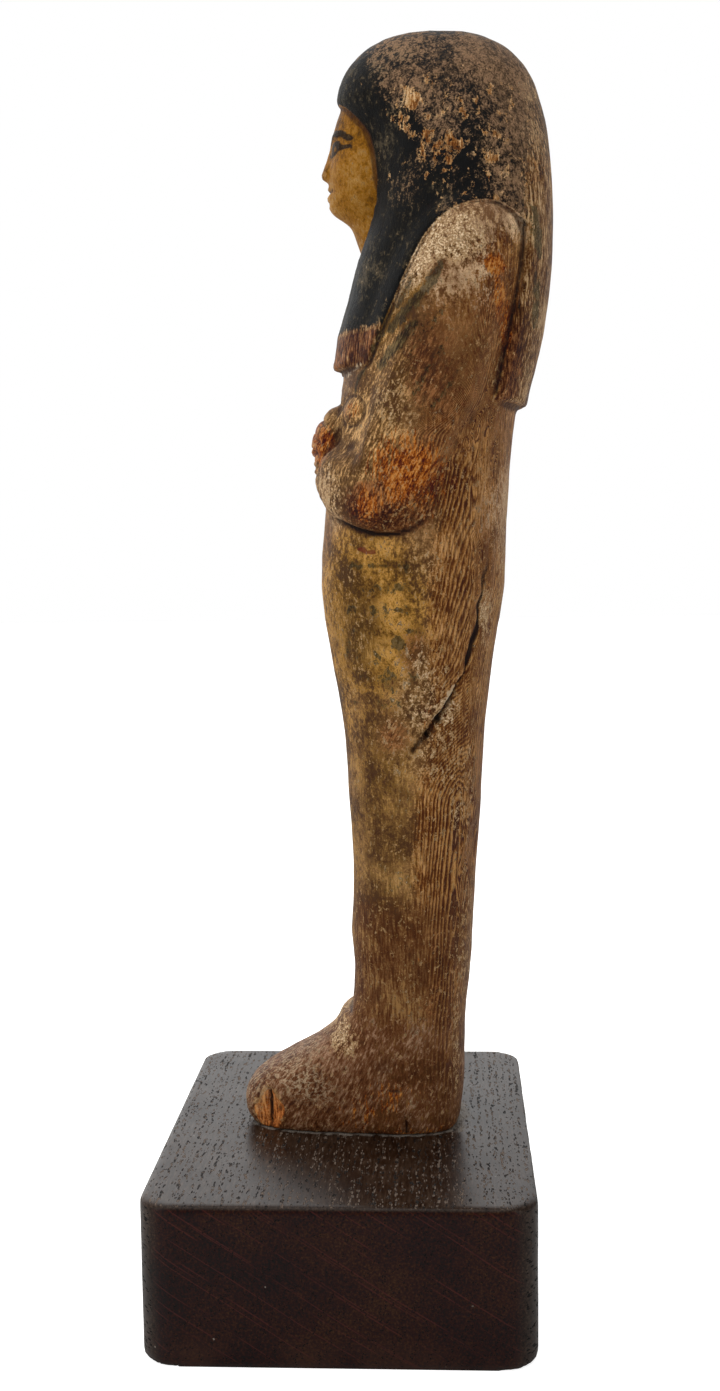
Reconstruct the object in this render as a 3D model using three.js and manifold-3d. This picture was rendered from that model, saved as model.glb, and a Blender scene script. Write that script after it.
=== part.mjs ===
// A carved wooden ushabti figurine, a mummiform figure with crossed arms and a three-part wig, on its display block.
// Millimetres, +Z up. The origin is the middle of the block's underside. The figure faces -Y and its left side is +X.
import * as THREE from 'three';
import { mergeVertices } from 'three/addons/utils/BufferGeometryUtils.js';
import Module from 'manifold-3d';

const wasm = await Module();
wasm.setup();

// Driving dimensions.
const figureHeight = 222.4;
const block = { width: 95, depth: 75, height: 31, cornerRadius: 7, easedEdge: 0.8, cornerSteps: 5 };
const stance = { shiftX: -3, turnDegrees: -5 }; // the figure stands a little off the block's middle, and turned
const lappets = { backHalfWidth: 15.5, innerEdge: 4.4, frontEnd: 156, backEnd: 149 };
const armThickness = 3.4;
const upperForearmExtra = 1.3; // the right forearm lies over the left one by this much
const face = { hairline: 209.5, chin: 188, halfWidth: 11.6 };
const figureColor = 0x6b4526;
const blockColor = 0x231a18;

const { clamp, smoothstep, degToRad } = THREE.MathUtils;

// ---- Shaping tools ----

// Values that change smoothly along a list of stations. Each station is [place, value, value, ...].
function stations(list) {
  const size = list[0].length - 1;
  const places = list.map((row) => row[0]);
  const values = list.flatMap((row) => row.slice(1));
  const spline = new THREE.CubicInterpolant(places, values, size);
  return (place) => Array.from(spline.evaluate(place));
}

// A point of a level outline, wider than an ellipse where square is over 2. Its angle runs from the front to +X.
function outlinePoint([front, back, half, square], angle, z) {
  const soft = (value) => Math.sign(value) * Math.abs(value) ** (2 / square);
  const middle = (front + back) / 2;
  const reach = (back - front) / 2;
  return new THREE.Vector3(half * soft(Math.sin(angle)), middle - reach * soft(Math.cos(angle)), z);
}

// Evenly spaced heights in several runs. Each run is [from, to, step], and the last one keeps its end.
function levels(...runs) {
  const list = runs.flatMap(([from, to, step]) => {
    const count = Math.round((to - from) / step);
    return Array.from({ length: count }, (_, i) => from + ((to - from) * i) / count);
  });
  return [...list, runs.at(-1)[1]];
}

// A closed skin over level rings, its points raised outwards by the relief, with a fan at each end.
// Crowding gathers the points of a ring at the front.
function skin(outlineAt, heights, around, relief = () => 0, crowding = 0) {
  const rings = heights.map((z) => {
    const outline = outlineAt(z);
    const middle = new THREE.Vector3(0, (outline[0] + outline[1]) / 2, z);
    return Array.from({ length: around }, (_, i) => {
      const turn = (2 * Math.PI * i) / around;
      const angle = turn - crowding * Math.sin(turn);
      const point = outlinePoint(outline, angle, z);
      const outward = point.clone().sub(middle).normalize();
      return point.addScaledVector(outward, relief(point, angle));
    });
  });
  return loft(rings);
}

function loft(rings) {
  const around = rings[0].length;
  const centre = (ring) => ring.reduce((sum, p) => sum.add(p), new THREE.Vector3()).divideScalar(around);
  const points = [...rings.flat(), centre(rings[0]), centre(rings.at(-1))];
  const lowCentre = points.length - 2;
  const highCentre = points.length - 1;
  const lastRing = (rings.length - 1) * around;
  const faces = [];
  for (let i = 0; i < around; i++) {
    const next = (i + 1) % around;
    faces.push(lowCentre, next, i, highCentre, lastRing + i, lastRing + next);
    for (let low = 0; low < lastRing; low += around) {
      const high = low + around;
      faces.push(low + i, low + next, high + next, low + i, high + next, high + i);
    }
  }
  return new THREE.BufferGeometry().setFromPoints(points).setIndex(faces);
}

// A three.js geometry as a manifold-3d solid, its shared corners merged and its folded faces dropped.
function solid(geometry) {
  const bare = new THREE.BufferGeometry().setAttribute('position', geometry.getAttribute('position').clone());
  if (geometry.index) bare.setIndex(geometry.index.clone());
  const merged = mergeVertices(bare, 1e-4);
  const corners = merged.index.array;
  const triVerts = [];
  for (let i = 0; i < corners.length; i += 3) {
    const [a, b, c] = corners.slice(i, i + 3);
    if (a !== b && b !== c && c !== a) triVerts.push(a, b, c);
  }
  return new wasm.Manifold(new wasm.Mesh({
    numProp: 3,
    vertProperties: merged.getAttribute('position').array,
    triVerts: new Uint32Array(triVerts),
  }));
}

// A manifold-3d solid back as a three.js geometry, with flat faces.
function geometryOf(made) {
  const mesh = made.getMesh();
  const geometry = new THREE.BufferGeometry()
    .setAttribute('position', new THREE.BufferAttribute(new Float32Array(mesh.vertProperties), 3))
    .setIndex(new THREE.BufferAttribute(new Uint32Array(mesh.triVerts), 1))
    .toNonIndexed();
  geometry.computeVertexNormals();
  return geometry;
}

// A shape drawn in the front view, x across and height up, taken through the figure from one depth to another.
function throughFront(shape, fromY, toY) {
  const geometry = new THREE.ExtrudeGeometry(shape, { depth: toY - fromY, curveSegments: 9, bevelEnabled: false });
  return solid(geometry.rotateX(Math.PI / 2).translate(0, toY, 0));
}

// A shape drawn in the side view, y across and height up, taken through the figure from one x to another.
function throughSide(shape, fromX, toX) {
  const geometry = new THREE.ExtrudeGeometry(shape, { depth: toX - fromX, curveSegments: 9, bevelEnabled: false });
  return solid(geometry.rotateX(Math.PI / 2).rotateZ(Math.PI / 2).translate(fromX, 0, 0));
}

const mirrored = (made) => made.mirror([1, 0, 0]);

// ---- The wrapped body, in the figure's own frame: sole at height 0, front towards -Y ----

// Feet, legs, trunk and shoulders. Each row is height, front, back, half width, squareness.
const bodyOutline = stations([
  [0, -20.4, 23.2, 12.2, 3.6],
  [2.5, -21.9, 23.6, 12.9, 3.4],
  [7.4, -21.9, 24.2, 13.2, 3.0],
  [9.4, -20.0, 24.3, 13.2, 2.9],
  [11.8, -16.6, 24.4, 13.2, 2.8],
  [14.7, -11.2, 24.4, 13.2, 2.7],
  [17.7, -6.2, 24.5, 13.2, 2.6],
  [21, -2.7, 24.6, 13.3, 2.5],
  [25, -0.6, 24.8, 13.3, 2.5],
  [26.4, 1.0, 24.9, 13.4, 2.5],
  [40, 0.9, 26.2, 14.2, 2.4],
  [55, 1.6, 27.1, 15.4, 2.4],
  [70, 0.9, 28.2, 17.0, 2.4],
  [85, -0.1, 29.2, 18.8, 2.3],
  [100, -2.6, 31.1, 21.4, 2.2],
  [113, -4.2, 33.3, 23.3, 2.2],
  [123, -3.6, 33.6, 23.9, 2.2],
  [140, -2.2, 34.8, 24.4, 2.2],
  [155, 1.2, 36.8, 25.0, 2.2],
  [168, 4.4, 39.2, 25.4, 2.2],
  [176, 7.6, 40.4, 25.4, 2.2],
  [182, 11.0, 40.4, 24.6, 2.2],
  [186, 14.5, 38.8, 22.8, 2.2],
  [189, 18.0, 35.5, 18.0, 2.2],
]);

// The way of one arm over the body: angle from the front in degrees, height, and half the breadth there.
const armWay = [
  [116, 187, 6.5],
  [112, 178, 10.0],
  [105, 168, 11.6],
  [100, 156, 12.0],
  [93, 146, 11.0],
  [87, 138, 9.8],
  [82, 133.2, 9.4],
  [66, 131.6, 8.5],
  [47, 133.2, 7.6],
  [27, 136.0, 6.6],
  [9, 139.2, 5.8],
  [-8, 142.2, 5.4],
];

const armSteps = 60;
const armStation = stations(armWay.map((row, i) => [i / (armWay.length - 1), ...row]));
const armPath = Array.from({ length: armSteps + 1 }, (_, i) => {
  const [degrees, z, breadth] = armStation(i / armSteps);
  return { share: i / armSteps, breadth, point: outlinePoint(bodyOutline(z), degToRad(degrees), z) };
});

// How far the +X side's arm stands out of the body at a point of the body's surface.
function armRelief(point) {
  let nearest = 2;
  let share = 0;
  for (const place of armPath) {
    const distance = point.distanceTo(place.point) / place.breadth;
    if (distance < nearest) {
      nearest = distance;
      share = place.share;
    }
  }
  const rise = smoothstep(share, 0, 0.3) * (1 + 0.35 * Math.exp(-(((share - 0.5) / 0.12) ** 2)));
  return armThickness * rise * (1 - smoothstep(nearest, 0.5, 1.04));
}

// The closed hand at the end of the +X side's arm, on the other side of the breast.
function fistRelief(point) {
  const across = (point.x + 7.4) / 6.6;
  const along = (point.z - 142.4) / 7.6;
  return point.y < 10 ? 4.4 * Math.sqrt(Math.max(0, 1 - across ** 2 - along ** 2)) : 0;
}

function bodyRelief(point) {
  const across = point.clone().multiply(new THREE.Vector3(-1, 1, 1));
  const left = Math.max(armRelief(point), fistRelief(point));
  const rightArm = armRelief(across);
  const right = Math.max(rightArm * (1 + upperForearmExtra / armThickness), fistRelief(across));
  const front = smoothstep(-point.y, -8, 2); // the overlap shows only over the breast
  return Math.max(left, THREE.MathUtils.lerp(rightArm, right, front));
}

function makeBody() {
  const heights = levels([0, 2.4, 1.2], [2.4, 8, 2.8], [8, 27, 1.6], [27, 120, 7.2], [120, 152, 1.8], [152, 189, 2.9]);
  return solid(skin(bodyOutline, heights, 46, bodyRelief, 0.14));
}

// ---- The wig ----

// The wig over the head, with its back and front lappets. Each row is height, front, back, half width, squareness.
const wigOutline = stations([
  [lappets.backEnd, -0.8, 37.6, 21.6, 2.4],
  [156, -1.2, 39.6, 21.8, 2.4],
  [160, -0.8, 40.7, 21.9, 2.4],
  [166, 1.2, 41.8, 22.0, 2.4],
  [172, 3.0, 42.7, 22.1, 2.4],
  [178, 4.6, 43.2, 22.2, 2.4],
  [184, 6.7, 43.4, 22.2, 2.4],
  [190, 7.4, 43.4, 21.5, 2.3],
  [197, 6.8, 43.0, 20.5, 2.2],
  [203, 4.4, 42.2, 19.3, 2.1],
  [206.5, 1.4, 41.5, 18.4, 2.1],
  [209.5, -0.1, 40.6, 17.4, 2.1],
  [213, 0.7, 39.5, 16.0, 2.1],
  [215.6, 2.0, 37.8, 14.2, 2.1],
  [218.5, 4.8, 34.9, 11.7, 2.1],
  [220.9, 8.6, 30.6, 8.4, 2.1],
  [figureHeight, 14.6, 23.6, 3.4, 2.0],
]);

// The opening round the face, and the gap between the two front lappets below it.
function makeFaceOpening() {
  const half = new THREE.Shape();
  half.moveTo(0, face.hairline);
  half.bezierCurveTo(6.5, face.hairline, 11.2, 207, face.halfWidth, 199);
  half.bezierCurveTo(11.9, 192, 11.0, 186, 7.6, 178);
  half.bezierCurveTo(5.6, 173, lappets.innerEdge, 166, lappets.innerEdge, lappets.frontEnd - 4);
  half.lineTo(0, lappets.frontEnd - 4);
  const side = throughFront(half, -12, 12);
  return side.add(mirrored(side));
}

// The shoulder that shows between the front lappet and the back lappet, seen from the side.
function makeShoulderGap() {
  const gap = new THREE.Shape();
  gap.moveTo(-12, lappets.backEnd - 2);
  gap.lineTo(-12, lappets.frontEnd);
  gap.lineTo(8.2, lappets.frontEnd);
  gap.bezierCurveTo(11.3, 162.5, 15.2, 171.2, 18.9, 177.6);
  gap.bezierCurveTo(22.6, 183.6, 27.6, 185.8, 32.3, 185.8);
  gap.bezierCurveTo(35.8, 185.6, 38.9, 182.6, 42, 178.5);
  gap.lineTo(50, 178.5);
  gap.lineTo(50, lappets.backEnd - 2);
  const side = throughSide(gap, lappets.backHalfWidth, 40);
  return side.add(mirrored(side));
}

// The square step under the front lappets.
function makeBreastGap() {
  const gap = new THREE.BoxGeometry(2 * lappets.backHalfWidth + 2, 34, 20);
  return solid(gap.translate(0, 0, lappets.frontEnd - 10));
}

function makeWig() {
  const heights = levels([lappets.backEnd, 184, 7], [184, 212, 3.1], [212, figureHeight, 1.6]);
  const mass = solid(skin(wigOutline, heights, 44));
  return mass.subtract(makeFaceOpening()).subtract(makeShoulderGap()).subtract(makeBreastGap());
}

// ---- The face: calm and plain, on even thirds from the hairline to the brow, the nose's end and the chin ----

// A smooth hill of height 1 over its middle, falling away with the two reaches.
const hill = (dx, reachX, dz, reachZ) => Math.exp(-((dx / reachX) ** 2) - (dz / reachZ) ** 2);

function faceRelief(point, angle) {
  if (Math.cos(angle) < 0) return 0;
  const third = (face.hairline - face.chin) / 3;
  const brow = face.chin + 2 * third;
  const noseEnd = face.chin + third;
  const mouth = face.chin + 0.6 * third;
  const { x, z } = point;
  const side = Math.abs(x);
  const share = clamp((brow - z) / (brow - noseEnd), 0, 1);
  const noseEnds = smoothstep(z, noseEnd - 1.1, noseEnd + 0.4) * (1 - smoothstep(z, brow - 1, brow + 2));
  const nose = (0.5 + 1.9 * share) * noseEnds * Math.exp(-((x / (1.2 + 1.1 * share)) ** 2));
  const nostrils = 0.8 * hill(side - 1.9, 1.0, z - noseEnd - 0.8, 1.1);
  const browRidge = 0.6 * hill(side - 4.8, 4.0, z - brow, 1.1);
  const eyeHollow = -1.1 * hill(side - 4.7, 3.2, z - brow + 2.3, 1.8);
  const eyeBall = 0.9 * hill(side - 4.8, 2.4, z - brow + 2.4, 1.1);
  const lips = 1.1 * hill(x, 3.6, z - mouth, 1.4) - 0.55 * hill(x, 3.4, z - mouth, 0.4);
  const chin = 1.1 * hill(x, 3.8, z - face.chin - 1.4, 1.9);
  const cheeks = 0.5 * hill(side - 6.4, 3.0, z - noseEnd - 1.2, 3.4);
  return nose + nostrils + browRidge + eyeHollow + eyeBall + lips + chin + cheeks;
}

function makeFaceAndNeck() {
  const back = 26;
  const outline = stations([
    [168, 9.0, 10.2],
    [178, 5.2, 8.8],
    [183, 3.5, 8.2],
    [186, 2.2, 8.2],
    [187.2, 0.6, 8.4],
    [188.4, -0.6, 9.0],
    [190, -1.0, 10.1],
    [193, -1.2, 11.2],
    [197, -1.3, 11.7],
    [202, -1.0, 11.7],
    [206, -0.1, 11.2],
    [209, 1.2, 10.6],
    [212, 3.2, 9.8],
  ]);
  const faceOutline = (z) => [outline(z)[0], back, outline(z)[1], 2.1];
  const heights = levels([168, 183, 7.5], [183, 187, 1.34], [187, 208, 1.05], [208, 212, 2]);
  return solid(skin(faceOutline, heights, 40, faceRelief, 0.62));
}

// ---- The display block ----

function makeBlock() {
  const { width, depth, height, cornerRadius: r, easedEdge, cornerSteps } = block;
  const x = width / 2;
  const y = depth / 2;
  const outline = new THREE.Shape();
  outline.moveTo(-x + r, -y);
  outline.lineTo(x - r, -y);
  outline.absarc(x - r, -y + r, r, -Math.PI / 2, 0);
  outline.lineTo(x, y - r);
  outline.absarc(x - r, y - r, r, 0, Math.PI / 2);
  outline.lineTo(-x + r, y);
  outline.absarc(-x + r, y - r, r, Math.PI / 2, Math.PI);
  outline.lineTo(-x, -y + r);
  outline.absarc(-x + r, -y + r, r, Math.PI, 1.5 * Math.PI);
  const geometry = new THREE.ExtrudeGeometry(outline, {
    depth: height - 2 * easedEdge,
    curveSegments: cornerSteps,
    bevelEnabled: true,
    bevelThickness: easedEdge,
    bevelSize: easedEdge,
    bevelOffset: -easedEdge,
    bevelSegments: 2,
  });
  return geometryOf(solid(geometry.translate(0, 0, easedEdge)));
}

// ---- The whole part ----

const wood = (color, roughness) => new THREE.MeshStandardMaterial({ color, roughness, metalness: 0 });

const figure = makeBody().add(makeWig()).add(makeFaceAndNeck());
const figurine = new THREE.Mesh(geometryOf(figure), wood(figureColor, 0.65));
figurine.name = 'ushabti_figure';
figurine.position.set(stance.shiftX, 0, block.height);
figurine.rotation.z = degToRad(stance.turnDegrees);

const displayBlock = new THREE.Mesh(makeBlock(), wood(blockColor, 0.4));
displayBlock.name = 'display_block';

const part = new THREE.Group();
part.add(displayBlock, figurine);

export default part;
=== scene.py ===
import math

import bmesh
import bpy
import numpy as np
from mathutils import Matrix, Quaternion, Vector


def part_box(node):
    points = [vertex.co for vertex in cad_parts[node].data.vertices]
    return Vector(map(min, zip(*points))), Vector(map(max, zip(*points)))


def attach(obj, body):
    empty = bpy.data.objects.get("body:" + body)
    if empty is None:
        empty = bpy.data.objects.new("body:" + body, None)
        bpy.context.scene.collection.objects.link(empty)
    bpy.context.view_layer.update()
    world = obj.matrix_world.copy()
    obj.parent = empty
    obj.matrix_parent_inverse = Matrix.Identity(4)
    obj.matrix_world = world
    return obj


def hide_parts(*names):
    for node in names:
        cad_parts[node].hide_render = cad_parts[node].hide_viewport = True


# A worn painted wooden ushabti on its dark display block.
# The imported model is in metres. The figure is carved and painted in its own frame, in millimetres:
# sole at height 0, front towards -y, its left side towards +x.

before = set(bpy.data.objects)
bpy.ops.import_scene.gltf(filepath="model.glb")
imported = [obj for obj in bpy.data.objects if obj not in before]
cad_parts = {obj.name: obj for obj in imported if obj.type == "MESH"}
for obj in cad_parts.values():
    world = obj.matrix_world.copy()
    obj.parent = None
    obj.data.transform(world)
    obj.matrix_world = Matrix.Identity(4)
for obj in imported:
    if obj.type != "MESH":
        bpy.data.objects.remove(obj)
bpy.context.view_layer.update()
blockLow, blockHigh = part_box("display_block")
print("frame loaded")

stance = {
    "shiftX": -3.0,  # mm from the block's middle
    "turn": math.radians(-5.0),
    "sole": blockHigh.z * 1000,
}


# ---- small helpers ----

def linear(code):
    parts = [int(code[i:i + 2], 16) / 255 for i in (0, 2, 4)]
    return tuple(c / 12.92 if c <= 0.04045 else ((c + 0.055) / 1.055) ** 2.4 for c in parts) + (1.0,)


def deselectAll():
    if bpy.context.object and bpy.context.object.mode != "OBJECT":
        bpy.ops.object.mode_set(mode="OBJECT")
    bpy.ops.object.select_all(action="DESELECT")


def makeActive(piece):
    deselectAll()
    piece.select_set(True)
    bpy.context.view_layer.objects.active = piece


def applyModifier(piece, kind, name, **settings):
    makeActive(piece)
    modifier = piece.modifiers.new(name, kind)
    for key, value in settings.items():
        setattr(modifier, key, value)
    bpy.ops.object.modifier_apply(modifier=name)


def smoothStep(value, low, high):
    share = np.clip((value - low) / (high - low), 0, 1)
    return share * share * (3 - 2 * share)


def cellValue(ix, iy, iz, seed):
    mixed = (ix * 374761393 + iy * 668265263 + iz * 1274126177 + seed * 974634777) & 0xFFFFFFFF
    mixed = ((mixed ^ (mixed >> 13)) * 1103515245) & 0xFFFFFFFF
    mixed = ((mixed ^ (mixed >> 15)) * 747796405) & 0xFFFFFFFF
    return ((mixed >> 8) & 0xFFFF) / 32767.5 - 1


def softNoise(points, size, seed):  # smooth noise from -1 to 1, its lumps as large as size
    scaled = points / np.asarray(size, float)
    base = np.floor(scaled).astype(np.int64)
    part = scaled - base
    part = part * part * (3 - 2 * part)
    total = np.zeros(len(points))
    for dx in (0, 1):
        for dy in (0, 1):
            for dz in (0, 1):
                weight = (part[:, 0] if dx else 1 - part[:, 0]) * (part[:, 1] if dy else 1 - part[:, 1])
                weight = weight * (part[:, 2] if dz else 1 - part[:, 2])
                total += weight * cellValue(base[:, 0] + dx, base[:, 1] + dy, base[:, 2] + dz, seed)
    return total


def alongLine(across, up, line):  # distance from a drawn line, the side of it, and the share of the way along
    line = np.asarray(line, float)
    lengths = np.hypot(*(line[1:] - line[:-1]).T)
    starts = np.concatenate([[0], np.cumsum(lengths)])
    best = np.full(len(across), 1e9)
    side = np.ones(len(across))
    share = np.zeros(len(across))
    for (ax, ay), (bx, by), length, start in zip(line[:-1], line[1:], lengths, starts):
        ux, uy = (bx - ax) / length, (by - ay) / length
        along = np.clip((across - ax) * ux + (up - ay) * uy, 0, length)
        gap = np.hypot(across - ax - along * ux, up - ay - along * uy)
        nearer = gap < best
        best = np.where(nearer, gap, best)
        side = np.where(nearer, np.sign(ux * (up - ay) - uy * (across - ax)), side)
        share = np.where(nearer, (start + along) / starts[-1], share)
    return best, side, share


def curvePoints(*pieces, steps=10):  # points along joined cubic curves
    points = [pieces[0][0]]
    for a, b, c, d in pieces:
        for i in range(1, steps + 1):
            t = i / steps
            points.append(tuple((1 - t) ** 3 * a[k] + 3 * (1 - t) ** 2 * t * b[k]
                                + 3 * (1 - t) * t * t * c[k] + t ** 3 * d[k] for k in (0, 1)))
    return points


def hill(dx, reachX, dz, reachZ):
    return np.exp(-((dx / reachX) ** 2) - (dz / reachZ) ** 2)


def toFigure(places):
    x, y = places[:, 0] * 1000 - stance["shiftX"], places[:, 1] * 1000
    c, s = math.cos(stance["turn"]), math.sin(stance["turn"])
    return np.column_stack([x * c + y * s, -x * s + y * c, places[:, 2] * 1000 - stance["sole"]])


def fromFigure(places):
    c, s = math.cos(stance["turn"]), math.sin(stance["turn"])
    x, y = places[:, 0] * c - places[:, 1] * s, places[:, 0] * s + places[:, 1] * c
    return np.column_stack([x + stance["shiftX"], y, places[:, 2] + stance["sole"]]) / 1000


def turnIn(directions):
    c, s = math.cos(stance["turn"]), math.sin(stance["turn"])
    x, y = directions[:, 0], directions[:, 1]
    return np.column_stack([x * c + y * s, -x * s + y * c, directions[:, 2]])


def outsideSole(places):  # mm outside the figure's sole, which is a rounded oblong
    across = np.abs(places[:, 0]) / 12.2
    along = np.where(places[:, 1] < 1.4, (1.4 - places[:, 1]) / 21.8, (places[:, 1] - 1.4) / 21.8)
    reach = (across ** 3.4 + along ** 3.4) ** (1 / 3.4)
    return (reach - 1) * np.hypot(places[:, 0], places[:, 1] - 1.4) / np.maximum(reach, 0.05)


class Nodes:  # short calls for the nodes of one material
    def __init__(self, name):
        self.material = bpy.data.materials.new(name)
        self.material.use_nodes = True
        self.tree = self.material.node_tree
        self.shader = self.tree.nodes["Principled BSDF"]
        self.place = self.tree.nodes.new("ShaderNodeTexCoord").outputs["Object"]
        self.mm = self.vector("SCALE", self.place, scale=1000.0)

    def new(self, kind, **settings):
        node = self.tree.nodes.new(kind)
        for key, value in settings.items():
            setattr(node, key, value)
        return node

    def plug(self, socket, value):
        if isinstance(value, bpy.types.NodeSocket):
            self.tree.links.new(value, socket)
        else:
            socket.default_value = value

    def math(self, operation, a, b=0.0, c=0.0, clamp=False):
        node = self.new("ShaderNodeMath", operation=operation, use_clamp=clamp)
        for socket, value in zip(node.inputs, (a, b, c)):
            self.plug(socket, value)
        return node.outputs[0]

    def vector(self, operation, a, b=(0, 0, 0), scale=1.0):
        node = self.new("ShaderNodeVectorMath", operation=operation)
        self.plug(node.inputs[0], a)
        if operation == "SCALE":
            self.plug(node.inputs["Scale"], scale)
        else:
            self.plug(node.inputs[1], b)
        return node.outputs["Value" if operation in ("DOT_PRODUCT", "DISTANCE") else 0]

    def squeeze(self, factors, lean=0.0, source=None):  # millimetres, leant in the side view and stretched
        if lean:
            node = self.new("ShaderNodeMapping")
            self.plug(node.inputs["Vector"], source or self.mm)
            node.inputs["Rotation"].default_value = (math.radians(lean), 0, 0)
            source = node.outputs[0]
        node = self.new("ShaderNodeMapping")
        self.plug(node.inputs["Vector"], source or self.mm)
        node.inputs["Scale"].default_value = factors
        return node.outputs[0]

    def noise(self, scale, detail=3.0, roughness=0.5, source=None, distortion=0.0):
        node = self.new("ShaderNodeTexNoise")
        self.plug(node.inputs["Vector"], source or self.mm)
        node.inputs["Scale"].default_value = scale
        node.inputs["Detail"].default_value = detail
        node.inputs["Roughness"].default_value = roughness
        node.inputs["Distortion"].default_value = distortion
        return node.outputs[0]

    def cells(self, scale, feature="F1", source=None, randomness=1.0, output="Distance"):
        node = self.new("ShaderNodeTexVoronoi", feature=feature)
        self.plug(node.inputs["Vector"], source or self.mm)
        node.inputs["Scale"].default_value = scale
        node.inputs["Randomness"].default_value = randomness
        return node.outputs[output]

    def step(self, value, low, high, toLow=0.0, toHigh=1.0):
        node = self.new("ShaderNodeMapRange", interpolation_type="SMOOTHSTEP")
        self.plug(node.inputs["Value"], value)
        for name, number in (("From Min", low), ("From Max", high), ("To Min", toLow), ("To Max", toHigh)):
            self.plug(node.inputs[name], number)
        return node.outputs[0]

    def mix(self, share, a, b, blend="MIX"):
        node = self.new("ShaderNodeMix", data_type="RGBA", blend_type=blend)
        self.plug(node.inputs["Factor"], share)
        self.plug(node.inputs[6], a)
        self.plug(node.inputs[7], b)
        return node.outputs[2]

    def ramp(self, value, *stops):
        node = self.new("ShaderNodeValToRGB")
        self.plug(node.inputs[0], value)
        elements = node.color_ramp.elements
        while len(elements) < len(stops):
            elements.new(0.5)
        for element, (position, code) in zip(elements, stops):
            element.position = position
            element.color = linear(code) if isinstance(code, str) else code
        return node.outputs[0]

    def tones(self, value, codes, spread=0.17):  # five tones from dark to light over a noise value near 0.5
        places = [0.5 + spread * k for k in (-1.9, -0.85, 0.0, 0.85, 1.9)]
        return self.ramp(value, *zip(places, [self.seen(code) for code in codes.split()]))

    def seen(self, code):  # the base colour that looks like this tone under the studio lights
        return tuple(max(0.0015, (c - studio["haze"]) / studio["gain"]) for c in linear(code)[:3]) + (1.0,)

    def drawn(self, name):  # a value stored on the mesh
        return self.new("ShaderNodeAttribute", attribute_name=name).outputs["Fac"]

    def times(self, *values):
        result = values[0]
        for value in values[1:]:
            result = self.math("MULTIPLY", result, value)
        return result

    def plus(self, *values):
        result = values[0]
        for value in values[1:]:
            result = self.math("ADD", result, value)
        return result

    def finish(self, color, roughness, height, depth=0.001):
        self.plug(self.shader.inputs["Base Color"], color)
        self.plug(self.shader.inputs["Roughness"], roughness)
        bump = self.new("ShaderNodeBump")
        bump.inputs["Strength"].default_value = 1.0
        bump.inputs["Distance"].default_value = depth
        self.plug(bump.inputs["Height"], height)
        self.plug(self.shader.inputs["Normal"], bump.outputs[0])
        return self.material


# ---- the room: camera, lights and floor ----

studio = {"gain": 0.8, "haze": 0.008}  # how bright a white surface looks, and what gloss adds to a black one

view = {"place": (0.3358, 0.02115, 0.1521), "yaw": 3.06, "pitch": 5.25, "roll": -0.75, "lens": 42.16}


def makeCamera():
    data = bpy.data.cameras.new("studioCamera")
    data.lens = view["lens"]
    data.clip_start = 0.01
    camera = bpy.data.objects.new("studioCamera", data)
    bpy.context.scene.collection.objects.link(camera)
    yaw, pitch = math.radians(view["yaw"]), math.radians(view["pitch"])
    looking = Vector((-math.cos(yaw) * math.cos(pitch), -math.sin(yaw) * math.cos(pitch), -math.sin(pitch)))
    turned = looking.to_track_quat("-Z", "Y") @ Quaternion((0, 0, 1), math.radians(view["roll"]))
    camera.location = view["place"]
    camera.rotation_euler = turned.to_euler()
    bpy.context.scene.camera = camera


def makeSoftLight(name, place, size, power, aim=(0, 0, 0.12)):
    data = bpy.data.lights.new(name, "AREA")
    data.shape = "RECTANGLE"
    data.size, data.size_y = size
    data.energy = power
    light = bpy.data.objects.new(name, data)
    light.location = place
    light.rotation_euler = (Vector(aim) - Vector(place)).to_track_quat("-Z", "Y").to_euler()
    bpy.context.scene.collection.objects.link(light)


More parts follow.
